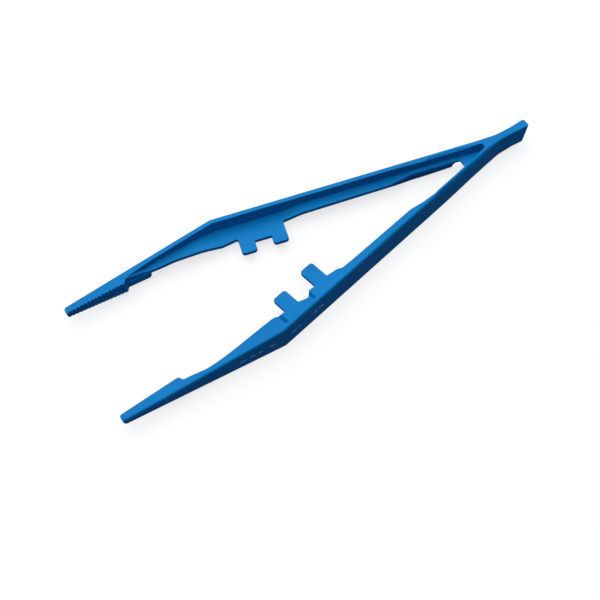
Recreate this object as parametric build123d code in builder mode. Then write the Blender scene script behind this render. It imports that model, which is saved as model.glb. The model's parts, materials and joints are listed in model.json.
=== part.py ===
from build123d import *
import os
from math import atan2, cos, hypot, sin, tan

# Moulded tweezers, lying flat with the arms sprung open.
# +X runs from the tail to the tips, +Y to the left arm, +Z up. The origin is under the
# middle of the outline, on the surface that the tweezers lie on.
# Every arm piece is drawn on the right arm: along the arm's outer face, and inwards from
# it. A left piece is mirrored. Lengths along the tweezers count from a plane just inside
# the tail's end, which the fin's end crosses: at the top it leans out by FIN_LEAN, and at
# the bottom it stands in by FIN_FOOT.

# ---- driving dimensions (mm) ----
REACH = 130.0              # to the tips
FIN_LEAN = 0.6             # the fin's end leans out over its foot
FIN_FOOT = 0.4             # its foot stands in by this much
HEIGHT = 7.7               # of the arms; the top is level from the tail to the knee
TIP_HEIGHT = 1.9
TAPER_FROM = 88.0
FOOT_LEVEL = 1.7           # the underside climbs from the resting face to the fin's foot
FIN_LEVEL = 1.1
CROTCH_LEVEL = 0.65
CROTCH_AT = 17.0
RESTING_FROM = 30.0

FLANGE = 1.25              # thickness of the outer walls
WEB = 1.2                  # thickness of the web and of the guide tabs
EDGE = 0.25                # bevel along the walls
TOUCH = 0.02               # centres closer than this belong to the same edge

FIN_END_HALF = 1.35
FIN_HALF = 1.05
FIN_WAIST_FROM = 4.0
FIN_WAIST_TO = 8.8
FIN_LEVEL_AT = 8.0
POCKET_AT = 14.4           # centre of the pocket's round end
NOTCH_AT = 20.3            # end of the web between the arms

ARM_SLOPE = 0.235          # sideways run of an arm's outer face for each mm of length
ARM_START = -1.215         # distance from the middle where that face crosses the tail's end
KNEE_AT = 86.8
TIP_HALF = 17.85           # middle to the outer face at the tips

HINGE_AT = 22.6            # flexing root of an arm, along its outer face
SOCKET_GAP = 0.05
SOCKET_LIP = 0.35          # hinge to the end of the tail's wall
WEB_GAP = 0.4              # hinge to the web on both sides
RIM = 2.15                 # outer face to the web's inner edge beside the crotch
WEB_EDGE = ((33.5, RIM), (40.8, 3.45), (61.8, 3.7))
GUIDE_AT = 65.2            # where the guide plate takes over from the web
GUIDE_START = 3.95         # reach of the web there
KNEE_REACH = 5.98          # reach of the web at the knee

TAB_WIDTH = 4.1
TAB_CORNER = 0.8
GUIDE_STEP = 1.0           # guide level to web level
LEFT_REAR_TAB = 70.2       # rear side of each tab, along the outer face
LEFT_FRONT_TAB = 80.4
RIGHT_REAR_TAB = 70.9
RIGHT_FRONT_TAB = 79.6
LEFT_TAB_ROOT = 4.6        # reach of the guide plate where its tabs start
RIGHT_TAB_ROOT = 7.3
LEFT_DIP = (76.2, 77.4)    # the left plate steps down to the web behind each tab
LEFT_END = (85.6, 86.8)
RIGHT_RISE_END = 6.0       # the right plate is back at the web's level, from the knee

JAW_AT = 26.4              # rear end of the jaw, from the knee
ROOT_AT = 18.0             # rear end of the thick jaw root, from the knee
FORE_MIDDLE = (8.8, 4.3)   # middle of the fore web's curved edge
ROOT_REAR = 2.65           # reach of the jaw root at its rear and front
ROOT_FRONT = 2.25
JAW_WALL = 1.55            # thickness of the outer wall at the jaw
BLOCK_AT = 19.6            # rear end of the block below the jaw root's web
BLOCK_CORNER = 0.9
ROOT_DROP = 1.0            # jaw's top to the front end of the root's slope
JAW_REAR = 3.25            # thickness of the jaw over its teeth, rear and tip
JAW_TIP = 1.95
TIP_CORNER = 0.6
TEETH = 15
TEETH_AT = 27.3
TOOTH_PITCH = 1.0
TOOTH_HEIGHT = 0.3
TOOTH_FLANK = 0.25

# ---- derived values ----
LENGTH = REACH + FIN_LEAN
TAIL_X = FIN_LEAN - LENGTH / 2
MIDDLE = HEIGHT / 2
WEB_LEVEL = MIDDLE - WEB / 2
ARM_ANGLE = atan2(ARM_SLOPE, 1)
KNEE_HALF = ARM_START + ARM_SLOPE * KNEE_AT
KNEE_ALONG = KNEE_AT / cos(ARM_ANGLE)
FORE_ANGLE = atan2(TIP_HALF - KNEE_HALF, REACH - KNEE_AT)
FORE_LENGTH = hypot(TIP_HALF - KNEE_HALF, REACH - KNEE_AT)
MITRE = tan((ARM_ANGLE - FORE_ANGLE) / 2)
WALL_ACROSS = FLANGE / cos(ARM_ANGLE)
POCKET_HALF = ARM_START + ARM_SLOPE * POCKET_AT
POCKET_RADIUS = POCKET_HALF - WALL_ACROSS

ARM = Plane((TAIL_X, -ARM_START, 0), x_dir=(cos(ARM_ANGLE), -sin(ARM_ANGLE), 0))
FORE = Plane((TAIL_X + KNEE_AT, -KNEE_HALF, 0), x_dir=(cos(FORE_ANGLE), -sin(FORE_ANGLE), 0))
ARM_SIDE = Plane(ARM.origin, x_dir=ARM.x_dir, z_dir=-ARM.y_dir)
FORE_SIDE = Plane(FORE.origin, x_dir=FORE.x_dir, z_dir=-FORE.y_dir)
TAIL = Plane((TAIL_X, 0, 0))

# The left arm's guide plate stands above the web and dips between its tabs, the right
# one lies below the web. "edge" is the plate's inner edge, "level" its underside, and each
# tab has its rear side, its root and its tip.
LOW = WEB_LEVEL - GUIDE_STEP
HIGH = WEB_LEVEL + GUIDE_STEP
GUIDES = {
    "left": {
        "edge": (
            (LEFT_REAR_TAB, LEFT_TAB_ROOT), (LEFT_REAR_TAB + TAB_WIDTH, LEFT_TAB_ROOT),
            (76.2, 4.8), (77.6, 3.9), (79.9, 4.3), (LEFT_FRONT_TAB, LEFT_TAB_ROOT),
            (LEFT_FRONT_TAB + TAB_WIDTH, LEFT_TAB_ROOT), (85.6, 4.9), (87.2, 5.8),
        ),
        "level": (
            (GUIDE_AT, WEB_LEVEL), (LEFT_REAR_TAB, HIGH),
            (LEFT_DIP[0], HIGH), (LEFT_DIP[1], WEB_LEVEL), (LEFT_FRONT_TAB, HIGH),
            (LEFT_END[0], HIGH), (LEFT_END[1], WEB_LEVEL), (KNEE_ALONG, WEB_LEVEL),
        ),
        "fore_level": ((0, WEB_LEVEL), (ROOT_AT, WEB_LEVEL)),
        "tabs": {
            "rear": (LEFT_REAR_TAB, LEFT_TAB_ROOT, 10.3),
            "front": (LEFT_FRONT_TAB, LEFT_TAB_ROOT, 9.4),
        },
        "tab_level": HIGH,
    },
    "right": {
        "edge": (
            (RIGHT_REAR_TAB, 3.9), (RIGHT_REAR_TAB, RIGHT_TAB_ROOT),
            (RIGHT_FRONT_TAB + TAB_WIDTH, RIGHT_TAB_ROOT), (RIGHT_FRONT_TAB + TAB_WIDTH, 5.3),
        ),
        "level": ((GUIDE_AT, WEB_LEVEL), (RIGHT_REAR_TAB, LOW), (KNEE_ALONG, LOW)),
        "fore_level": (
            (0, LOW), (KNEE_REACH * MITRE, LOW), (RIGHT_RISE_END, WEB_LEVEL),
            (ROOT_AT, WEB_LEVEL),
        ),
        "tabs": {
            "rear": (RIGHT_REAR_TAB, RIGHT_TAB_ROOT, 9.9),
            "front": (RIGHT_FRONT_TAB, RIGHT_TAB_ROOT, 10.3),
        },
        "tab_level": LOW,
    },
}

with BuildSketch(Plane.XZ) as side_view:
    with BuildLine():
        Polyline(
            (TAIL_X - FIN_LEAN, HEIGHT),
            (TAIL_X + FIN_FOOT, FOOT_LEVEL),
            (TAIL_X + FIN_LEVEL_AT, FIN_LEVEL),
            (TAIL_X + POCKET_AT, CROTCH_LEVEL),
            (TAIL_X + CROTCH_AT, CROTCH_LEVEL),
            (TAIL_X + RESTING_FROM, 0),
            (TAIL_X + TAPER_FROM, 0),
            (TAIL_X + REACH, MIDDLE - TIP_HEIGHT / 2),
            (TAIL_X + REACH, MIDDLE + TIP_HEIGHT / 2),
            (TAIL_X + TAPER_FROM, HEIGHT),
            close=True,
        )
    make_face()


def save(part, name):
    part.label = name
    export_step(part, f"parts/{name}.step")


def save_arm(part, side, name):
    """Write an arm piece, which is drawn on the right arm."""
    if side == "left":
        with BuildPart() as mirrored:
            add(part)
            mirror(about=Plane.XZ, mode=Mode.REPLACE)
        part = mirrored.part
    save(part, f"{side}_{name}")


def side_cut():
    """Trim the current part to the side view."""
    extrude(side_view.sketch, amount=LENGTH, both=True, mode=Mode.INTERSECT)


def round_walls(piece, ends):
    """Round the edges along a wall's top and bottom, but not at its end faces."""
    at_ends = [edge.center() for end in ends for edge in end.edges()]
    long_edges = [
        edge for edge in piece.edges().filter_by(Axis.Z, reverse=True)
        if all((edge.center() - centre).length > TOUCH for centre in at_ends)
    ]
    chamfer(long_edges, length=EDGE)


def face_at(piece, point):
    """Face of a piece nearest to a point."""
    return piece.faces().sort_by_distance(point)[0]


def arm_point(along, inwards):
    """Plan position on the right arm, from the tail's end and the middle."""
    point = ARM.from_local_coords(Vector(along, inwards))
    return point.X - TAIL_X, point.Y


def tail_fin():
    with BuildPart() as fin:
        with BuildSketch(TAIL):
            with BuildLine():
                Polyline(
                    (-FIN_LEAN, 0), (-FIN_LEAN, FIN_END_HALF), (FIN_WAIST_FROM, FIN_HALF),
                    (FIN_WAIST_TO, FIN_HALF), (POCKET_AT, POCKET_HALF), (POCKET_AT, 0), close=True,
                )
            make_face()
            mirror(about=Plane.XZ)
        extrude(amount=HEIGHT)
        side_cut()
        chamfer(fin.edges().filter_by(Plane.YZ, reverse=True), length=EDGE)
        with BuildSketch(Plane((TAIL_X + POCKET_AT, 0, 0))):
            Circle(POCKET_RADIUS)
        extrude(amount=WEB_LEVEL, mode=Mode.SUBTRACT)
        with BuildSketch(Plane((TAIL_X + POCKET_AT, 0, WEB_LEVEL + WEB))):
            Circle(POCKET_RADIUS)
        extrude(amount=HEIGHT, mode=Mode.SUBTRACT)
    return fin.part


def crotch_web():
    notch_half = ARM_START + ARM_SLOPE * NOTCH_AT - RIM / cos(ARM_ANGLE)
    web_end = HINGE_AT - WEB_GAP
    with BuildPart() as web:
        with BuildSketch(TAIL.offset(WEB_LEVEL)):
            with BuildLine():
                Polyline(
                    (POCKET_AT, 0), (POCKET_AT, -POCKET_RADIUS), arm_point(web_end, FLANGE),
                    arm_point(web_end, RIM), (NOTCH_AT, -notch_half), (NOTCH_AT, 0), close=True,
                )
            make_face()
            mirror(about=Plane.XZ)
        extrude(amount=WEB)
    return web.part


def flange_root():
    start = POCKET_AT / cos(ARM_ANGLE)
    end = HINGE_AT - SOCKET_LIP
    with BuildPart() as root:
        with BuildSketch(ARM):
            with BuildLine():
                Polyline(
                    (start, 0), (end, 0), (end, FLANGE), (start - FLANGE * ARM_SLOPE, FLANGE),
                    close=True,
                )
            make_face()
        extrude(amount=HEIGHT)
        side_cut()
        ends = [face_at(root, ARM.from_local_coords(Vector(at, FLANGE / 2, MIDDLE)))
                for at in (start - FLANGE * ARM_SLOPE / 2, end)]
        round_walls(root, ends)
        with BuildSketch(ARM):
            with Locations((HINGE_AT, FLANGE / 2)):
                Circle(FLANGE / 2 + SOCKET_GAP)
        extrude(amount=HEIGHT, mode=Mode.SUBTRACT)
    return root.part


def flange():
    end = KNEE_ALONG - FLANGE * MITRE
    with BuildPart() as wall:
        with BuildSketch(ARM):
            with BuildLine():
                Polyline((HINGE_AT, FLANGE), (end, FLANGE), (KNEE_ALONG, 0), (HINGE_AT, 0))
                ThreePointArc(
                    (HINGE_AT, 0), (HINGE_AT - FLANGE / 2, FLANGE / 2), (HINGE_AT, FLANGE),
                )
            make_face()
        extrude(amount=HEIGHT)
        side_cut()
        mitre = face_at(wall, FORE.from_local_coords(Vector(FLANGE * MITRE / 2, FLANGE / 2, MIDDLE)))
        round_walls(wall, [mitre])
    return wall.part


def web():
    start = HINGE_AT + WEB_GAP
    with BuildPart() as plate:
        with BuildSketch(ARM.offset(WEB_LEVEL)):
            with BuildLine():
                Polyline(
                    (start, FLANGE), (start, RIM), *WEB_EDGE, (GUIDE_AT, GUIDE_START),
                    (GUIDE_AT, FLANGE), close=True,
                )
            make_face()
        extrude(amount=WEB)
    return plate.part


def follow_levels(plane, levels):
    """Trim the current part to a plate whose underside follows the given levels."""
    upper = [(along, level + WEB) for along, level in reversed(levels)]
    with BuildSketch(plane) as band:
        with BuildLine():
            Polyline(*levels, *upper, close=True)
        make_face()
    extrude(band.sketch, amount=HEIGHT * 2, both=True, mode=Mode.INTERSECT)


def guide_plate(guide):
    with BuildPart() as plate:
        with BuildSketch(ARM):
            with BuildLine():
                Polyline(
                    (GUIDE_AT, FLANGE), (GUIDE_AT, GUIDE_START), *guide["edge"],
                    (KNEE_ALONG - KNEE_REACH * MITRE, KNEE_REACH),
                    (KNEE_ALONG - FLANGE * MITRE, FLANGE), close=True,
                )
            make_face()
        extrude(amount=HEIGHT)
        follow_levels(ARM_SIDE, guide["level"])
    return plate.part


def tab(start, root, tip, level):
    with BuildPart() as plate:
        with BuildSketch(ARM.offset(level)) as plan:
            with Locations((start, root)):
                Rectangle(TAB_WIDTH, tip - root, align=(Align.MIN, Align.MIN))
            tip_corners = plan.vertices().sort_by_distance(ARM.from_local_coords(
                Vector(start + TAB_WIDTH / 2, tip, level)))[:2]
            fillet(tip_corners, radius=TAB_CORNER)
        extrude(amount=WEB)
    return plate.part


def fore_flange():
    with BuildPart() as wall:
        with BuildSketch(FORE):
            with BuildLine():
                Polyline(
                    (0, 0), (JAW_AT, 0), (JAW_AT, JAW_WALL), (ROOT_AT, FLANGE),
                    (FLANGE * MITRE, FLANGE), close=True,
                )
            make_face()
        extrude(amount=HEIGHT)
        side_cut()
        ends = [face_at(wall, FORE.from_local_coords(Vector(at, FLANGE / 2, MIDDLE)))
                for at in (FLANGE * MITRE / 2, JAW_AT)]
        round_walls(wall, ends)
    return wall.part


def fore_web(guide):
    with BuildPart() as plate:
        with BuildSketch(FORE):
            with BuildLine():
                ThreePointArc(
                    (KNEE_REACH * MITRE, KNEE_REACH), FORE_MIDDLE, (ROOT_AT, ROOT_REAR),
                )
                Polyline(
                    (ROOT_AT, ROOT_REAR), (ROOT_AT, FLANGE), (FLANGE * MITRE, FLANGE),
                    (KNEE_REACH * MITRE, KNEE_REACH),
                )
            make_face()
        extrude(amount=HEIGHT)
        follow_levels(FORE_SIDE, guide["fore_level"])
    return plate.part


def jaw_root():
    """Thick root of the jaw: its top climbs to the jaw and a block fills its underside."""
    with BuildPart() as block:
        with BuildSketch(FORE):
            with BuildLine():
                Polyline(
                    (ROOT_AT, FLANGE), (ROOT_AT, ROOT_REAR), (JAW_AT, ROOT_FRONT),
                    (JAW_AT, JAW_WALL), close=True,
                )
            make_face()
        extrude(amount=HEIGHT)
        side_cut()
        with BuildSketch(FORE_SIDE) as profile:
            with BuildLine():
                Polyline(
                    (ROOT_AT, WEB_LEVEL + WEB), (ROOT_AT, WEB_LEVEL), (BLOCK_AT, WEB_LEVEL),
                    (BLOCK_AT, WEB_LEVEL - BLOCK_CORNER),
                )
                Line((BLOCK_AT + BLOCK_CORNER, 0), (JAW_AT, 0))
                Line((BLOCK_AT, WEB_LEVEL - BLOCK_CORNER), (BLOCK_AT + BLOCK_CORNER, 0))
                Polyline((JAW_AT, 0), (JAW_AT, HEIGHT - ROOT_DROP), (ROOT_AT, WEB_LEVEL + WEB))
            make_face()
        extrude(profile.sketch, amount=HEIGHT, both=True, mode=Mode.INTERSECT)
    return block.part


def bite(along, rise):
    """Plan point on the jaw's inner face; a rise of 1 is a tooth's crest."""
    share = (along - JAW_AT) / (FORE_LENGTH - JAW_AT)
    return along, JAW_REAR + (JAW_TIP - JAW_REAR) * share - TOOTH_HEIGHT * (1 - rise)


def jaw():
    teeth = []
    for tooth in range(TEETH):
        start = TEETH_AT + tooth * TOOTH_PITCH
        half = start + TOOTH_PITCH / 2
        teeth += [bite(start, 0), bite(start + TOOTH_FLANK, 1), bite(half, 1),
                  bite(half + TOOTH_FLANK, 0)]
    with BuildPart() as block:
        with BuildSketch(FORE) as plan:
            with BuildLine():
                Polyline(
                    (JAW_AT, 0), bite(JAW_AT, 1), bite(TEETH_AT - TOOTH_FLANK, 1), *teeth,
                    bite(FORE_LENGTH, 0), (FORE_LENGTH, 0), close=True,
                )
            make_face()
            fillet(plan.vertices().sort_by(Axis.X)[-2:], radius=TIP_CORNER)
        extrude(amount=HEIGHT)
        side_cut()
    return block.part


os.makedirs("parts", exist_ok=True)
save(tail_fin(), "tail_fin")
save(crotch_web(), "crotch_web")
for side, guide in GUIDES.items():
    save_arm(flange_root(), side, "flange_root")
    save_arm(flange(), side, "flange")
    save_arm(web(), side, "web")
    save_arm(guide_plate(guide), side, "guide_plate")
    for place, (start, root, tip) in guide["tabs"].items():
        save_arm(tab(start, root, tip, guide["tab_level"]), side, f"{place}_tab")
    save_arm(fore_flange(), side, "fore_flange")
    save_arm(fore_web(guide), side, "fore_web")
    save_arm(jaw_root(), side, "jaw_root")
    save_arm(jaw(), side, "jaw")
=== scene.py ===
import json
from collections import namedtuple
from math import atan2, cos, inf, pi, radians, sin, tan

import bmesh
import bpy
from mathutils import Matrix, Vector


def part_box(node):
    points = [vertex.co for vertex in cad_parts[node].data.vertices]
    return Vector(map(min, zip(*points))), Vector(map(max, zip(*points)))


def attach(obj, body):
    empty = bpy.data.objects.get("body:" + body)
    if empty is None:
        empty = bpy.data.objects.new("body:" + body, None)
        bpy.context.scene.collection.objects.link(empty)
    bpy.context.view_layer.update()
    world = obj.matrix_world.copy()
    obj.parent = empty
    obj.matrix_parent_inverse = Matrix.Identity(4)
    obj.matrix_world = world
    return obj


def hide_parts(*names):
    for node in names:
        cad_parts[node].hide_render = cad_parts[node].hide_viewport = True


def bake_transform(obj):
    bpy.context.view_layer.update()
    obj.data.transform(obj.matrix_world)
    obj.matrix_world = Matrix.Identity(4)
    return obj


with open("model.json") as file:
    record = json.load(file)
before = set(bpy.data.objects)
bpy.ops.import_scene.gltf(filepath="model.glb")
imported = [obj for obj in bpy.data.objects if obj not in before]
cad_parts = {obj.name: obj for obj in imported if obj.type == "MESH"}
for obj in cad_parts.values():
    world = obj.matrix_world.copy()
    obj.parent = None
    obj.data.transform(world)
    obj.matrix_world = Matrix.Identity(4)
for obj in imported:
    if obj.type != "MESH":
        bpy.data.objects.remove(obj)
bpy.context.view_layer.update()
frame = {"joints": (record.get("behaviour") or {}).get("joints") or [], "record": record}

# The tweezers are one moulding, shown as three skins in place of the CAD solids: the tail,
# and two arms that bend out of it. Both arms are drawn on the left, and skin() mirrors the
# right one. Outlines are drawn in mm: along the tweezers from the tail's end and sideways
# from the middle, or along an arm's outer face and inwards from it.
MM = 0.001

# ---- end of the tail fin ----
FIN_LEAN = 0.6             # its top leans out by this much
FIN_FOOT = 0.4             # its foot stands in by this much
LEAN_END = 6               # the lean has faded out here

# ---- places taken from the frame ----
TAIL_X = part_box("tail_fin")[0].x / MM + FIN_LEAN
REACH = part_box("left_jaw")[1].x / MM - TAIL_X
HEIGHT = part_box("left_flange")[1].z / MM
MIDDLE = HEIGHT / 2
HINGE = next(Vector(j["pos_m"]) for j in frame["joints"] if j["name"] == "left_flex") / MM
KNEE = (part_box("left_fore_flange")[0].x / MM - TAIL_X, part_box("left_fore_flange")[1].y / MM)
JAW_REAR = (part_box("left_jaw")[0].x / MM - TAIL_X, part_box("left_jaw")[1].y / MM)
CROTCH_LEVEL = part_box("tail_fin")[0].z / MM
WEB_HALF = (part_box("left_web")[1].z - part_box("left_web")[0].z) / MM / 2
GUIDE_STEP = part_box("left_rear_tab")[1].z / MM - MIDDLE - WEB_HALF

# ---- lines of the arms ----
WALL = 1.25                # thickness of an arm's outer wall
SLOPE = 0.235              # of an arm's outer face
START = KNEE[1] - SLOPE * KNEE[0]
ARM_ANGLE = atan2(SLOPE, 1)
FORE_ANGLE = atan2(JAW_REAR[1] - KNEE[1], JAW_REAR[0] - KNEE[0])
KNEE_ALONG = KNEE[0] / cos(ARM_ANGLE)
FORE_LENGTH = (REACH - KNEE[0]) / cos(FORE_ANGLE)
HINGE_ALONG = (HINGE.x - TAIL_X) / cos(ARM_ANGLE)
DRAWN_FROM = 15            # the arms are drawn from here and cut off at the seam
SEAM = 20.6                # the arm skins start here, just past the crotch

# ---- directions in plan ----
LENGTHWAYS = (1, 0)
ARM_WAY = (cos(ARM_ANGLE), sin(ARM_ANGLE))
FORE_WAY = (cos(FORE_ANGLE), sin(FORE_ANGLE))

# ---- edge roundings ----
FINE_EDGE = 0.12
FIN_EDGE = 0.35
BLOCK_EDGE = 0.28          # of the block below the jaw's root
UNDER = 0.14               # the most below the walls

Edges = namedtuple("Edges", "outer crotch inner_crotch tip")
LEFT_EDGES = Edges(outer=0.6, crotch=0.85, inner_crotch=0.2, tip=0.55)
RIGHT_EDGES = Edges(outer=0.16, crotch=0.16, inner_crotch=FINE_EDGE, tip=0.2)


def arm(along, inwards):
    """Plan point of the left arm, along its outer face from the tail's end."""
    return (along * cos(ARM_ANGLE) + inwards * sin(ARM_ANGLE),
            START + along * sin(ARM_ANGLE) - inwards * cos(ARM_ANGLE))


def fore(along, inwards):
    """Plan point of the left fore arm, along its outer face from the knee."""
    return (KNEE[0] + along * cos(FORE_ANGLE) + inwards * sin(FORE_ANGLE),
            KNEE[1] + along * sin(FORE_ANGLE) - inwards * cos(FORE_ANGLE))


def along_arm(x, y):
    return x * cos(ARM_ANGLE) + (y - START) * sin(ARM_ANGLE)


def along_fore(x, y):
    return (x - KNEE[0]) * cos(FORE_ANGLE) + (y - KNEE[1]) * sin(FORE_ANGLE)


def along_both(point):
    """Distance along the outer face, over the knee."""
    past = along_fore(point.x, point.y)
    return min(along_arm(point.x, point.y), KNEE_ALONG) + max(past, 0.0)


def ramp(value, low, high):
    """Straight rise from 0 at low to 1 at high."""
    return min(1.0, max(0.0, (value - low) / (high - low)))


def blend_step(value, low, high):
    """Smooth rise from 0 at low to 1 at high."""
    t = ramp(value, low, high)
    return t * t * (3 - 2 * t)


def hump(x, span, height=1.0):
    """Smooth rise and fall. The span is where it starts, is full, starts to fall and ends."""
    return height * blend_step(x, *span[:2]) * (1 - blend_step(x, *span[2:]))


# ---- closed shells ----
CORNER_STEPS = 6           # sides of a rounded corner in plan
EDGE_STEPS = 4             # sides of a rounded edge
MARGIN = 0.06              # strip beside a rounded edge that keeps the flat faces' shading flat
MARGIN_SHARE = 0.4         # the most of it, as a share of the rounding

# A ring lies inset and rise times the rounding from the plate's corner, plus flat and steep
# times the margin. Way is up from the lower face or down from the upper one, and most is
# the largest rounding there.
Ring = namedtuple("Ring", "inset rise flat steep level way most")


def corners(points):
    """Outline with its corners rounded: each point is (place, plan radius, edge rounding)."""
    outline = []
    for index, (place, radius, edge) in enumerate(points):
        here = Vector(place)
        if radius == 0:
            outline.append((here, edge))
            continue
        before = (Vector(points[index - 1][0]) - here).normalized()
        after = (Vector(points[(index + 1) % len(points)][0]) - here).normalized()
        half = before.angle(after) / 2
        centre = here + (before + after).normalized() * radius / sin(half)
        first = here + before * radius / tan(half) - centre
        sweep = first.angle_signed(here + after * radius / tan(half) - centre)
        for k in range(CORNER_STEPS + 1):
            turn = Matrix.Rotation(-sweep * k / CORNER_STEPS, 2)
            outline.append((centre + turn @ first, edge))
    return outline


def anticlockwise(outline):
    places = [place for place, _ in outline]
    area = sum(places[i - 1].cross(places[i]) for i in range(len(places)))
    return outline[::-1] if area < 0 else outline


def inward_ways(places):
    """Mitred direction inwards at each place of an anticlockwise outline."""
    ways = []
    for i, here in enumerate(places):
        before = (here - places[i - 1]).normalized()
        after = (places[(i + 1) % len(places)] - here).normalized()
        normals = Vector((-before.y, before.x)), Vector((-after.y, after.x))
        ways.append((normals[0] + normals[1]) / (1 + normals[0].dot(normals[1])))
    return ways


def plate_rings(low, high, under):
    """Rings from the middle of the lower face, round both edges, to the upper face."""
    quarter = [k / EDGE_STEPS * pi / 2 for k in range(EDGE_STEPS + 1)]
    profile = [(1.0, 0.0, 1, 0)] + [(1 - sin(t), 1 - cos(t), 0, 0) for t in quarter]
    profile += [(0.0, 1.0, 0, 1)]
    lower = [Ring(*part, low, 1, under) for part in profile]
    return lower + [Ring(*part, high, -1, inf) for part in reversed(profile)]


def prism(outline, low, high, under=inf, tall=lambda place: 1):
    """Closed plate over an outline, its edges rounded, below by no more than `under`.

    tall() says how much taller than wide the rounding is along the top at a place.
    """
    outline = anticlockwise(outline)
    count = len(outline)
    inwards = inward_ways([place for place, _ in outline])
    mesh = bmesh.new()
    loops = []
    for ring in plate_rings(low, high, under):
        loop = []
        for i, (place, edge) in enumerate(outline):
            size = min(edge, ring.most)
            margin = min(MARGIN_SHARE * size, MARGIN)
            spot = place + inwards[i] * (ring.inset * size + ring.flat * margin)
            height = ring.rise * size + ring.steep * margin
            if ring.way < 0:
                height *= tall(place)
            loop.append(mesh.verts.new((*spot, ring.level + ring.way * height)))
        loops.append(loop)
    for lower_loop, upper_loop in zip(loops, loops[1:]):
        for i in range(count):
            mesh.faces.new((lower_loop[i - 1], lower_loop[i], upper_loop[i], upper_loop[i - 1]))
    caps = [mesh.faces.new(loops[0][::-1]), mesh.faces.new(loops[-1])]
    mesh.normal_update()
    bmesh.ops.triangulate(mesh, faces=caps)
    return mesh


def cut(mesh, places, direction):
    """Add edges across a mesh where planes with this plan direction pass the places."""
    for place in places:
        geometry = mesh.verts[:] + mesh.edges[:] + mesh.faces[:]
        bmesh.ops.bisect_plane(mesh, geom=geometry, plane_co=(*place, 0), plane_no=(*direction, 0))


def cut_square(mesh, distances):
    """Add edges across a mesh at these distances along the tweezers."""
    cut(mesh, [(x, 0) for x in distances], LENGTHWAYS)


def trim(mesh, x, side):
    """Cut a mesh off square at x, keep the tips' side (1) or the tail's side (-1), close it."""
    geometry = mesh.verts[:] + mesh.edges[:] + mesh.faces[:]
    result = bmesh.ops.bisect_plane(
        mesh, geom=geometry, plane_co=(x, 0, 0), plane_no=(-side, 0, 0), clear_outer=True)
    edges = [e for e in result["geom_cut"] if isinstance(e, bmesh.types.BMEdge)]
    bmesh.ops.edgeloop_fill(mesh, edges=edges)


def lift(mesh, height):
    """Move each vertex to the level that height() gives for it."""
    for vertex in mesh.verts:
        vertex.co.z = height(vertex.co)


# ---- levels of the walls ----
FOOT_LEVEL = 1.75          # underside of the fin's end
CROTCH_AT = 16             # from here the underside comes down to the floor
FLOOR_AT = 31
TAPER_FROM = KNEE[0] + 1   # the walls get lower from here to the tips
TIP_HALF = 0.95            # half the height there

DRAWN_OUT = 1.6            # stretch of the left wall's top rounding beside the crotch
DRAWN_SPAN = (9, 13.5, 31.5, 40)
SCOOP = 2.1                # rise of the walls' inner bottom edges beside the notch
SCOOP_SPAN = (16.0, 19.5, 20.9, 21.7)
RIGHT_OUTER_SHARE = 0.55   # how much of the scoop reaches the right wall's outer face
EASE_SPAN = (15.0, 20.0, 32.0, 38.0)
INNER_FOOT = 0.45          # rise of the walls' inner bottom edges over that span
LEFT_INNER_TOP = 0.9       # drop of their inner top edges
RIGHT_INNER_TOP = 0.35
INNER = 0.95               # beyond this a wall's vertices belong to its inner face
CROTCH_REACH = 40          # all changes beside the crotch end before this


def levels(x):
    """Underside and top of the walls at a distance along the tweezers."""
    taper = (MIDDLE - TIP_HALF) * ramp(x, TAPER_FROM, REACH)
    tail = FOOT_LEVEL - (FOOT_LEVEL - CROTCH_LEVEL) * blend_step(x, 0, CROTCH_AT)
    return tail - CROTCH_LEVEL * blend_step(x, CROTCH_AT, FLOOR_AT) + taper, HEIGHT - taper


def tall(x, side):
    """The left wall's edge is drawn out beside the crotch, and the tips stay round."""
    low, high = levels(x)
    drawn_out = hump(x, DRAWN_SPAN, DRAWN_OUT) if side > 0 else 0
    return (1 + drawn_out) * (HEIGHT / (high - low) if x > KNEE[0] else 1)


def wall_level(point, side):
    """Level of a wall's vertex on the left (side 1) or the right (side -1)."""
    low, high = levels(point.x)
    scoop = hump(point.x, SCOOP_SPAN, SCOOP)
    ease = hump(point.x, EASE_SPAN)
    inwards = (START + SLOPE * point.x - abs(point.y)) * cos(ARM_ANGLE)
    if inwards > INNER and point.x < CROTCH_REACH:
        low += max(scoop, INNER_FOOT * ease)
        high -= (LEFT_INNER_TOP if side > 0 else RIGHT_INNER_TOP) * ease
    elif side < 0 and point.x < CROTCH_REACH:
        low += RIGHT_OUTER_SHARE * scoop
    return low + (high - low) * (0.5 + point.z / HEIGHT)


# ---- levels of the web ----
NOTCH_WEB = 0.4            # thickness of the web around the notch
NOTCH_SPAN = (16.0, 18.0, 20.9, 21.7)
LEFT_RISES = ((65.2, 70.2), (77.4, 80.4))       # the left guide plate steps up, and down again
LEFT_DROPS = ((76.3, 76.95), (85.8, 86.45))
RIGHT_DROP = (64.6, 71.6)                       # the right one goes down before the knee,
RIGHT_RISE = (-0.6, 6.6)                        # and up again past it


def notch_rise(x):
    """Rise of the web's underside, which is thinner around the notch."""
    return hump(x, NOTCH_SPAN, WEB_HALF * 2 - NOTCH_WEB)


def notch_level(point):
    return MIDDLE + point.z + (notch_rise(point.x) if point.z < 0 else 0)


def left_step(along):
    """Height of the left guide plate above the rest of the web."""
    up = sum(ramp(along, *rise) for rise in LEFT_RISES)
    return GUIDE_STEP * (up - sum(ramp(along, *drop) for drop in LEFT_DROPS))


def right_step(along):
    """The same for the right guide plate, which lies below the rest of the web."""
    back_up = blend_step(along - KNEE_ALONG, *RIGHT_RISE)
    return -GUIDE_STEP * (blend_step(along, *RIGHT_DROP) - back_up)


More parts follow.
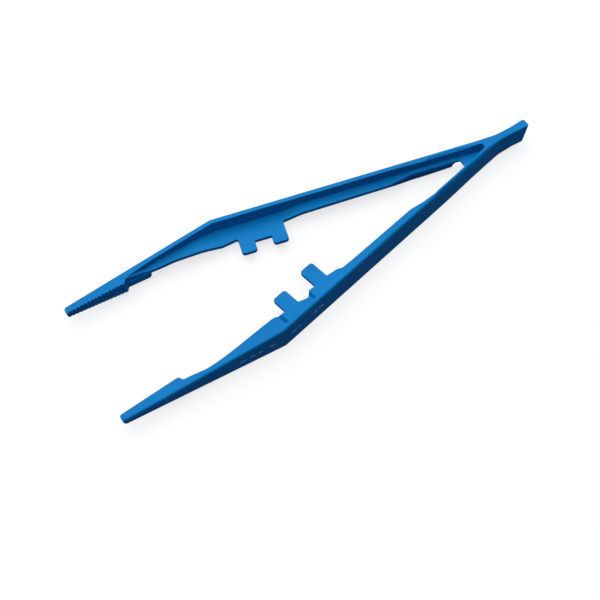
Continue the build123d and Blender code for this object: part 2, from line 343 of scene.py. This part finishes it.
# ---- outlines of the arms ----
JAW_ROOT = 26.4            # along the fore arm
CREST_REAR = 3.25          # the teeth's crests lie this far inwards at the jaw's root
CREST_TIP = 1.95           # and at the tip
TEETH = 15
TEETH_AT = 27.6            # the first tooth starts here
TOOTH = 1.0                # length of each
TOOTH_DEPTH = 0.32
TOOTH_SAMPLES = 10
TOOTH_SHARPNESS = 0.8      # a power below 1, so the hollows are wide and the crests narrow

CROTCH_END = 32            # the walls' edges are those beside the crotch as far as this,
PLAIN_FROM = 37            # and those of the rest of the arm from here on
FORE_FLAT = 20             # the fore arm's outer edge is plain as far as this
KNEE_RADIUS = 1.2
INNER_KNEE_RADIUS = 3
TIP_RADIUS = 0.85
BITE_RADIUS = 0.58         # of the tip's inner corner

# Rows of distance along, distance inwards and radius in plan.
JAW_BACK = ((27.05, 3.1, 0.25), (26.2, 1.95, 0.7), (23.3, 1.56, 6), (18, 1.28, 0))
RIM = 2.15                 # the web's inner edge beside the crotch
CORE = WALL / 2            # the web runs into the middle of the wall
WEB_REAR = (
    (DRAWN_FROM, CORE, 0), (DRAWN_FROM, RIM, 0), (34.0, RIM, 8), (40.4, 3.45, 8), (61.8, 3.7, 12))
LEFT_GUIDE = (
    (65.4, 3.85, 0.8), (66.8, 4.4, 0.8),
    (70.2, 4.6, 0.3), (70.2, 10.2, 0.8), (74.3, 10.2, 0.8), (74.3, 4.6, 0.3),
    (76.2, 4.8, 0.3), (77.6, 3.85, 0.5),
    (80.4, 4.4, 0.3), (80.4, 9.3, 0.8), (84.5, 9.3, 0.8), (84.5, 4.8, 0.3),
    (85.8, 4.85, 0.3), (87.0, 5.8, 0.6), (88.2, 6.05, 0.8))
RIGHT_GUIDE = (
    (70.9, 3.85, 0.5), (70.9, 9.9, 0.8), (75.0, 9.9, 0.8), (75.0, 7.3, 0.3),
    (79.6, 7.3, 0.3), (79.6, 10.25, 0.8), (83.7, 10.25, 0.8), (83.7, 5.3, 0.5),
    (88.2, 6.05, 0.8))
FORE_WEB = ((3.86, 5.4, 0), (6.35, 4.84, 0), (8.83, 4.3, 0), (11.1, 3.8, 0), (13.3, 3.34, 0))
LEFT_ROOT = ((15.8, 2.87, 0), (18.5, 2.54, 0), (22.0, 2.18, 0), (25.5, 1.95, 0))
RIGHT_ROOT = ((15.8, 3.12, 0), (18.0, 2.86, 0), (22.0, 2.18, 0), (25.5, 1.95, 0))
WEB_FRONT = ((27, CORE, 0), (0.1, CORE, 0))
ROOT_SLOPE = (
    (18.5, 0.6, 0), (18.5, 2.45, 0), (22.0, 2.25, 8), (26.2, 2.0, 0.7),
    (27.1, 3.0, 0), (29, 2.8, 0), (29, 0.6, 0))
ROOT_BLOCK = ((19.6, 0.6, 0), (19.6, 2.5, 0.9), (26.2, 2.2, 0), (28, 2.2, 0), (28, 0.6, 0))


def drawn(way, rows, edge=FINE_EDGE):
    """Outline points from rows of distance along, distance inwards and radius in plan."""
    return [(way(along, inwards), radius, edge) for along, inwards, radius in rows]


def bite(along, depth=0.0):
    """Plan point on the line of the teeth's crests, or this far below it."""
    share = (along - JAW_ROOT) / (FORE_LENGTH - JAW_ROOT)
    return fore(along, CREST_REAR + (CREST_TIP - CREST_REAR) * share - depth)


def hollow(along):
    """Depth of the teeth's hollows below their crests."""
    count = (along - TEETH_AT) / TOOTH
    if not 0 < count < TEETH:
        return 0.0
    return TOOTH_DEPTH * (0.5 - 0.5 * cos(2 * pi * count)) ** TOOTH_SHARPNESS


def teeth():
    """Scalloped inner face of the jaw, from its rear end to the tip."""
    points = []
    for k in range(TEETH * TOOTH_SAMPLES + 1):
        along = TEETH_AT + k * TOOTH / TOOTH_SAMPLES
        points.append((bite(along, hollow(along)), 0, FINE_EDGE))
    return points


def wall_outline(edges):
    """Outer wall with the jaw, once round."""
    inner_knee = fore(WALL * tan((ARM_ANGLE - FORE_ANGLE) / 2), WALL)
    return [
        *drawn(arm, [(DRAWN_FROM, 0, 0), (CROTCH_END, 0, 0)], edges.crotch),
        *drawn(arm, [(PLAIN_FROM, 0, 0)], edges.outer),
        (KNEE, KNEE_RADIUS, edges.outer),
        *drawn(fore, [(FORE_FLAT, 0, 0)], edges.outer),
        *drawn(fore, [(FORE_LENGTH, 0, TIP_RADIUS)], edges.tip),
        (bite(FORE_LENGTH), BITE_RADIUS, FINE_EDGE),
        *teeth()[::-1],
        *drawn(fore, JAW_BACK),
        (inner_knee, INNER_KNEE_RADIUS, FINE_EDGE),
        *drawn(arm, [(PLAIN_FROM, WALL, 0)]),
        *drawn(arm, [(CROTCH_END, WALL, 0), (DRAWN_FROM, WALL, 0)], edges.inner_crotch),
    ]


def web_outline(guide, root):
    """Web with its guide tabs, once round."""
    return drawn(arm, (*WEB_REAR, *guide)) + drawn(fore, (*FORE_WEB, *root, *WEB_FRONT))


# ---- outlines of the tail ----
FIN_END = 1.35             # half the fin's width at its end
FIN = 1.05                 # and at its waist
FIN_CORNER = 0.6           # radius of the fin's end in plan
WAIST = (4, 8.8)           # from and to
WAIST_RADIUS = 8
WAIST_EDGE = 0.1           # edge rounding at its front, beyond half of the crotch's
FLARE_AT = 14.2            # the fin has spread into the arms here
FLARE_RADIUS = 12
HOLLOW_RADIUS = 0.9        # of the hollow between the walls
NOTCH = 20.3               # the crotch web ends here
NOTCH_RADIUS = 0.3
CROTCH_REAR = (12.5, 0.5)  # hidden corners of the crotch web, inside the fin
CROTCH_FRONT = 24          # and past the seam


def mirrored(outline):
    return [((x, -y), radius, edge) for (x, y), radius, edge in outline]


def tail_side(edges):
    """Fin and wall on the left, from the fin's end along the outer face and back inside."""
    return [
        ((0, FIN_END), FIN_CORNER, FIN_EDGE),
        ((WAIST[0], FIN), WAIST_RADIUS, FIN_EDGE),
        ((WAIST[1], FIN), WAIST_RADIUS, edges.crotch / 2 + WAIST_EDGE),
        (arm(FLARE_AT, 0), FLARE_RADIUS, edges.crotch),
        (arm(CROTCH_END, 0), 0, edges.crotch),
        (arm(CROTCH_END, WALL), 0, edges.inner_crotch),
    ]


def tail_outline():
    """Fin with both walls, once round."""
    inner = (START - WALL / cos(ARM_ANGLE)) / -SLOPE
    right = mirrored(tail_side(RIGHT_EDGES))[::-1]
    return tail_side(LEFT_EDGES) + [((inner, 0), HOLLOW_RADIUS, FINE_EDGE)] + right


def crotch_outline():
    """Web in the crotch, with the square notch at its front."""
    half = START + SLOPE * NOTCH - RIM / cos(ARM_ANGLE)
    side = [
        (CROTCH_REAR, 0, FINE_EDGE),
        *drawn(arm, [(CROTCH_FRONT, CORE, 0), (CROTCH_FRONT, RIM, 0)]),
        ((NOTCH, half), NOTCH_RADIUS, FINE_EDGE),
    ]
    return side + mirrored(side)[::-1]


# ---- shells of the arms ----
BEND_PITCH = 0.3           # edges across the flexing root, for a smooth bend
BEND_STEPS = 6             # on each side of the hinge
BEND_CUTS = [arm(HINGE_ALONG + k * BEND_PITCH, 0) for k in range(-BEND_STEPS, BEND_STEPS + 1)]
WALL_CUTS = (
    17, 18, 19, 20, 20.9, 21.2, 21.5, 21.7,
    25, 26.5, 28, 29.5, 31, 32, 33, 34, 35, 36.5, 38)
WEB_CUTS = (17, 18, 20.9, 21.2, 21.5, 21.7)
LEFT_CUTS = [at for ends in (*LEFT_RISES, *LEFT_DROPS) for at in ends]
RIGHT_CUTS = [RIGHT_DROP[0] + k for k in range(8)]      # one a mm down its slope
RIGHT_FORE_CUTS = (0.5, 1.5, 2.5, 3.5, 4.5, 5.5, 6.6)

RIM_DROP = 0.7             # depth of the plain edge beside the teeth
RIM_SLOPE = 0.12           # height over which it turns into teeth
SLACK = 0.01               # for vertices right on a level

COVE = 0.35                # radius of the fillets between web and wall
COVE_INSIDE = 0.15         # how far they reach into both
COVE_SUNK = 0.01           # how far their ends lie below the faces
COVE_STEPS = 6
COVE_PITCH = 0.5
COVE_COUNT = 196
KNEE_GAP = 1.5             # one straight stretch carries them round the knee

ROOT_RISE = (19.0, 27.2)   # the jaw root's slope climbs from the web to the wall's top
ROOT_PITCH = 0.8
ROOT_COUNT = 13
ROOT_CUTS = [fore(ROOT_RISE[0] + k * ROOT_PITCH, 0) for k in range(ROOT_COUNT)]
SUNK = 0.04                # it starts below the web's face
TOP_SUNK = 0.02            # and ends below the top
BLOCK_LIFT = 0.01          # the block below it ends above the wall's underside

# Everything that differs between the arms. The plain rim is along the jaw's top (1) or
# underside (-1), and fills this share of the teeth's hollows.
Side = namedtuple("Side", "sign edges rim_way rim_share guide root step arm_cuts fore_cuts")
LEFT = Side(1, LEFT_EDGES, 1, 1, LEFT_GUIDE, LEFT_ROOT, left_step, LEFT_CUTS, ())
RIGHT = Side(-1, RIGHT_EDGES, -1, 0.6, RIGHT_GUIDE, RIGHT_ROOT, right_step, RIGHT_CUTS, RIGHT_FORE_CUTS)


def fill_hollows(wall, way, share):
    """Fill a share of the teeth's hollows along the jaw's top (way 1) or underside (-1)."""
    for drop in (RIM_DROP, RIM_DROP + RIM_SLOPE):
        geometry = wall.verts[:] + wall.edges[:] + wall.faces[:]
        bmesh.ops.bisect_plane(
            wall, geom=geometry, plane_co=(0, 0, way * (MIDDLE - drop)), plane_no=(0, 0, 1))
    for vertex in wall.verts:
        x, y, z = vertex.co
        along = along_fore(x, y)
        inwards = (x - KNEE[0]) * sin(FORE_ANGLE) - (y - KNEE[1]) * cos(FORE_ANGLE)
        if z * way > MIDDLE - RIM_DROP - SLACK and inwards > WALL:
            vertex.co.xy = fore(along, inwards + share * hollow(along))


def wall_mesh(side):
    outline = corners(wall_outline(side.edges))
    wall = prism(outline, -MIDDLE, MIDDLE, UNDER, lambda place: tall(place.x, side.sign))
    fill_hollows(wall, side.rim_way, side.rim_share)
    cut(wall, BEND_CUTS, ARM_WAY)
    cut_square(wall, WALL_CUTS)
    cut_square(wall, [TAPER_FROM])
    lift(wall, lambda point: wall_level(point, side.sign))
    trim(wall, SEAM, 1)
    return wall


def web_mesh(side):
    web = prism(corners(web_outline(side.guide, side.root)), -WEB_HALF, WEB_HALF)
    cut(web, BEND_CUTS, ARM_WAY)
    cut(web, [arm(at, 0) for at in side.arm_cuts], ARM_WAY)
    cut(web, [fore(at, 0) for at in side.fore_cuts], FORE_WAY)
    cut_square(web, WEB_CUTS)
    lift(web, lambda point: notch_level(point) + side.step(along_both(point)))
    trim(web, SEAM, 1)
    return web


def slope_level(point):
    if point.z < 0:
        return MIDDLE
    top = levels(point.x)[1] - TOP_SUNK
    share = blend_step(along_fore(point.x, point.y), *ROOT_RISE)
    return (MIDDLE + WEB_HALF - SUNK) * (1 - share) + top * share - (WEB_HALF - point.z)


def block_level(point):
    if point.z > -WEB_HALF:
        return MIDDLE
    low = levels(point.x)[0]
    return MIDDLE - (MIDDLE - low) * min(1.0, -point.z / MIDDLE) + BLOCK_LIFT


def root_meshes():
    """Slope that climbs to the jaw above the web, and the block below it."""
    slope = prism(corners(drawn(fore, ROOT_SLOPE)), -WEB_HALF, WEB_HALF)
    cut(slope, ROOT_CUTS, FORE_WAY)
    lift(slope, slope_level)
    block = prism(corners(drawn(fore, ROOT_BLOCK, BLOCK_EDGE)), -MIDDLE, 0)
    lift(block, block_level)
    return slope, block


def cove_profile():
    """Section of a fillet: distance from the wall's face and from the web's face."""
    far = COVE + COVE_INSIDE
    turns = [k * pi / 2 / COVE_STEPS for k in range(COVE_STEPS + 1)]
    arc = [(COVE * (1 - sin(t)), COVE * (1 - cos(t))) for t in turns]
    return [(-COVE_INSIDE, -COVE_INSIDE), (-COVE_INSIDE, far), (0, far), *arc,
            (far, 0), (far, -COVE_INSIDE)]


def cove(step, way):
    """Hollow fillet where the web meets the wall, above the web (way 1) or below it (-1)."""
    profile = cove_profile()
    mesh = bmesh.new()
    loops = []
    for along in [DRAWN_FROM + k * COVE_PITCH for k in range(COVE_COUNT)]:
        if abs(along - KNEE_ALONG) < KNEE_GAP:
            continue
        loop = []
        for inwards, rise in profile:
            place = arm(along, WALL - COVE_SUNK + inwards)
            if along > KNEE_ALONG:
                place = fore(along - KNEE_ALONG, WALL - COVE_SUNK + inwards)
            level = MIDDLE + step(along) + way * (WEB_HALF - COVE_SUNK + rise)
            if way < 0:
                level += notch_rise(place[0])
            loop.append(mesh.verts.new((*place, level)))
        loops.append(loop)
    for one, two in zip(loops, loops[1:]):
        for i in range(len(profile)):
            mesh.faces.new((one[i - 1], one[i], two[i], two[i - 1]))
    mesh.faces.new(loops[0])
    mesh.faces.new(loops[-1])
    bmesh.ops.recalc_face_normals(mesh, faces=mesh.faces)
    trim(mesh, SEAM, 1)
    return mesh


def arm_meshes(side):
    """Closed shells of one arm, drawn on the left. They overlap where they join."""
    return [wall_mesh(side), web_mesh(side), *root_meshes(), cove(side.step, 1), cove(side.step, -1)]


# ---- dashes ----
# Plain raised dashes along the left arm's outer face: start, length and level of each.
ARM_DASHES = ((76.1, 1.4, 3.9), (78.3, 1.0, 3.8), (83.8, 0.9, 3.6), (85.4, 1.6, 3.5))
FORE_DASHES = ((2.7, 1.5, 3.6), (6.4, 0.9, 3.5), (8.2, 1.5, 3.4), (10.6, 1.8, 3.3))
DASH_PROUD = 0.07
DASH_ROOT = 0.3            # how far a dash reaches into the wall
DASH_HALF = 0.19           # half its height
DASH_EDGE = 0.06


def dashes():
    marks = []
    for way, places in ((arm, ARM_DASHES), (fore, FORE_DASHES)):
        for start, length, level in places:
            end = start + length
            plan = [way(start, -DASH_PROUD), way(end, -DASH_PROUD),
                    way(end, DASH_ROOT), way(start, DASH_ROOT)]
            outline = [(Vector(place), DASH_EDGE) for place in plan]
            marks.append(prism(outline, level - DASH_HALF, level + DASH_HALF))
    return marks


# ---- shells of the tail ----
TAIL_CUTS = (2, 4, 6, 7.5, 9, 10, 11.5, 13, 14.5, 16, 17, 18, 19, 20)
CROTCH_CUTS = (16, 16.5, 17, 17.5, 18)


def tail_meshes():
    """Closed shells of the fin with both walls, and of the web in the crotch."""
    outline = corners(tail_outline())
    walls = prism(outline, -MIDDLE, MIDDLE, UNDER, lambda place: tall(place.x, place.y))
    cut_square(walls, TAIL_CUTS)
    for vertex in walls.verts:
        x = vertex.co.x
        share = 0.5 + vertex.co.z / HEIGHT
        vertex.co.z = wall_level(vertex.co, 1 if vertex.co.y > 0 else -1)
        vertex.co.x += (FIN_FOOT - (FIN_FOOT + FIN_LEAN) * share) * (1 - blend_step(x, 0, LEAN_END))
    crotch = prism(corners(crotch_outline()), -WEB_HALF, WEB_HALF)
    cut_square(crotch, CROTCH_CUTS)
    lift(crotch, notch_level)
    trim(walls, SEAM, -1)
    trim(crotch, SEAM, -1)
    return [walls, crotch]


# ---- skins ----
SLIVER = 0.001             # edges shorter than this are merged
SHARP = radians(32)        # edges that turn more than this are shaded sharp


def skin(name, meshes, side=1, marks=()):
    """One visible object from closed meshes drawn in mm; side -1 mirrors them to the right.

    The marks take the second material, whose lighter blue is painted highlight.
    """
    joined = bmesh.new()
    for mesh in (*meshes, *marks):
        bmesh.ops.dissolve_degenerate(mesh, dist=SLIVER, edges=mesh.edges)
        for face in mesh.faces:
            face.material_index = int(mesh in marks)
        for vertex in mesh.verts:
            x, y, z = vertex.co
            vertex.co = Vector(((x + TAIL_X) * MM, y * side * MM, z * MM))
        if side < 0:
            bmesh.ops.reverse_faces(mesh, faces=mesh.faces)
        piece = bpy.data.meshes.new(name)
        mesh.to_mesh(piece)
        joined.from_mesh(piece)
        bpy.data.meshes.remove(piece)
    for edge in joined.edges:
        edge.smooth = len(edge.link_faces) != 2 or edge.calc_face_angle() < SHARP
    for face in joined.faces:
        face.smooth = True
    data = bpy.data.meshes.new(name)
    joined.to_mesh(data)
    thing = bpy.data.objects.new(name, data)
    bpy.context.scene.collection.objects.link(thing)
    return thing


# ---- material ----
DEEP_BLUE = (0.001, 0.145, 0.385, 1)
BLUE = (0.002, 0.168, 0.435, 1)
# Lighter blues of the dashes: painted highlight, standing in for light caught on the raised marks'
# edges.
PAINTED_HIGHLIGHT_BLUE = (0.12, 0.36, 0.6, 1)
PAINTED_HIGHLIGHT_PALE_BLUE = (0.16, 0.42, 0.68, 1)
REFRACTION = 1.49
SPECULAR = 0.06
FLOW_SCALE = 60            # soft flow marks in colour and gloss
FLOW_DETAIL = 4
FLOW_SPREAD = (0.3, 0.7)
ROUGHNESS = (0.34, 0.46)
GRAIN_SCALE = 1800         # fine grain of the mould's surface
GRAIN_DETAIL = 2
GRAIN_STRENGTH = 0.12
GRAIN_DEPTH = 0.00004


def noise(material, place, scale, detail):
    node = material.node_tree.nodes.new("ShaderNodeTexNoise")
    node.inputs["Scale"].default_value = scale
    node.inputs["Detail"].default_value = detail
    material.node_tree.links.new(place.outputs["Object"], node.inputs["Vector"])
    return node


def plastic(name, dark, light):
    material = bpy.data.materials.new(name)
    material.use_nodes = True
    nodes = material.node_tree.nodes
    links = material.node_tree.links
    shader = nodes["Principled BSDF"]
    shader.inputs["IOR"].default_value = REFRACTION
    shader.inputs["Specular IOR Level"].default_value = SPECULAR
    place = nodes.new("ShaderNodeTexCoord")
    flow = noise(material, place, FLOW_SCALE, FLOW_DETAIL)
    colour = nodes.new("ShaderNodeValToRGB")
    for index, shade in enumerate((dark, light)):
        colour.color_ramp.elements[index].position = FLOW_SPREAD[index]
        colour.color_ramp.elements[index].color = shade
    links.new(flow.outputs["Fac"], colour.inputs["Fac"])
    links.new(colour.outputs["Color"], shader.inputs["Base Color"])
    gloss = nodes.new("ShaderNodeMapRange")
    gloss.inputs["To Min"].default_value, gloss.inputs["To Max"].default_value = ROUGHNESS
    links.new(flow.outputs["Fac"], gloss.inputs["Value"])
    links.new(gloss.outputs["Result"], shader.inputs["Roughness"])
    grain = noise(material, place, GRAIN_SCALE, GRAIN_DETAIL)
    bump = nodes.new("ShaderNodeBump")
    bump.inputs["Strength"].default_value = GRAIN_STRENGTH
    bump.inputs["Distance"].default_value = GRAIN_DEPTH
    links.new(grain.outputs["Fac"], bump.inputs["Height"])
    links.new(bump.outputs["Normal"], shader.inputs["Normal"])
    return material


tail = skin("moulded_tail", tail_meshes())
left = skin("moulded_left_arm", arm_meshes(LEFT), LEFT.sign, dashes())
right = skin("moulded_right_arm", arm_meshes(RIGHT), RIGHT.sign)
finish = plastic("blue_moulded_plastic", DEEP_BLUE, BLUE)
# The dashes' material is a lighter blue painted as highlight on the raised marks.
painted_highlight = plastic("painted_highlight_blue_plastic", PAINTED_HIGHLIGHT_BLUE, PAINTED_HIGHLIGHT_PALE_BLUE)
for thing in (tail, left, right):
    thing.data.materials.append(finish)
# The dashes get the lighter blue that paints highlight on them.
left.data.materials.append(painted_highlight)
groups = frame["record"]["behaviour"]["bodies"]
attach(tail, "tail")
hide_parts(*groups["tail"])
for thing, side, body in ((left, LEFT, "left_arm"), (right, RIGHT, "right_arm")):
    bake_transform(thing)
    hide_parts(*groups[body])

# ---- floor, light and camera ----
FLOOR_HALF = 1.5
FLOOR_GREY = (0.2, 0.2, 0.2, 1)
FLOOR_ROUGHNESS = 0.9
FLOOR_GLOW = 0.75          # keeps the floor near white around the soft shadow
WHITE = (1, 1, 1, 1)
LIGHT_PLACE = Vector((0.0, -0.15, 0.6))
LIGHT_AIM = Vector((0, 0, 0))
LIGHT_SIZE = 1.0
LIGHT_POWER = 8.4
STUDIO_COLOUR = (0.45, 0.65, 1, 1)
STUDIO_STRENGTH = 0.19
CAMERA_PLACE = Vector((0.05402, 0.10595, 0.18993))
CAMERA_AIM = Vector((0.01092, 0.01487, 0.00385))
CAMERA_ROLL = radians(-6.6)
SENSOR = 36
LENS = 51
SHIFT = (-0.0253, 0.0058)


def floor():
    mesh = bmesh.new()
    bmesh.ops.create_grid(mesh, x_segments=1, y_segments=1, size=FLOOR_HALF)
    data = bpy.data.meshes.new("floor")
    mesh.to_mesh(data)
    ground = bpy.data.objects.new("floor", data)
    bpy.context.scene.collection.objects.link(ground)
    material = bpy.data.materials.new("pale_floor")
    material.use_nodes = True
    shader = material.node_tree.nodes["Principled BSDF"]
    shader.inputs["Base Color"].default_value = FLOOR_GREY
    shader.inputs["Roughness"].default_value = FLOOR_ROUGHNESS
    shader.inputs["Emission Color"].default_value = WHITE
    shader.inputs["Emission Strength"].default_value = FLOOR_GLOW
    data.materials.append(material)
    ground.visible_diffuse = False
    ground.visible_glossy = False


def key_light():
    data = bpy.data.lights.new("key", "AREA")
    data.shape = "RECTANGLE"
    data.size = LIGHT_SIZE
    data.size_y = LIGHT_SIZE
    data.energy = LIGHT_POWER
    lamp = bpy.data.objects.new("key", data)
    lamp.location = LIGHT_PLACE
    lamp.rotation_euler = (LIGHT_AIM - LIGHT_PLACE).to_track_quat("-Z", "Y").to_euler()
    bpy.context.scene.collection.objects.link(lamp)


def studio():
    world = bpy.data.worlds.new("studio")
    bpy.context.scene.world = world
    world.use_nodes = True
    background = world.node_tree.nodes["Background"]
    background.inputs["Color"].default_value = STUDIO_COLOUR
    background.inputs["Strength"].default_value = STUDIO_STRENGTH


def camera():
    data = bpy.data.cameras.new("view")
    data.sensor_width = SENSOR
    data.lens = LENS
    data.shift_x, data.shift_y = SHIFT
    view = bpy.data.objects.new("view", data)
    bpy.context.scene.collection.objects.link(view)
    bpy.context.scene.camera = view
    look = (CAMERA_AIM - CAMERA_PLACE).to_track_quat("-Z", "Y").to_matrix()
    view.rotation_euler = (look @ Matrix.Rotation(CAMERA_ROLL, 3, "Z")).to_euler()
    view.location = CAMERA_PLACE


floor()
key_light()
studio()
camera()
bpy.context.scene.view_settings.view_transform = "Standard"
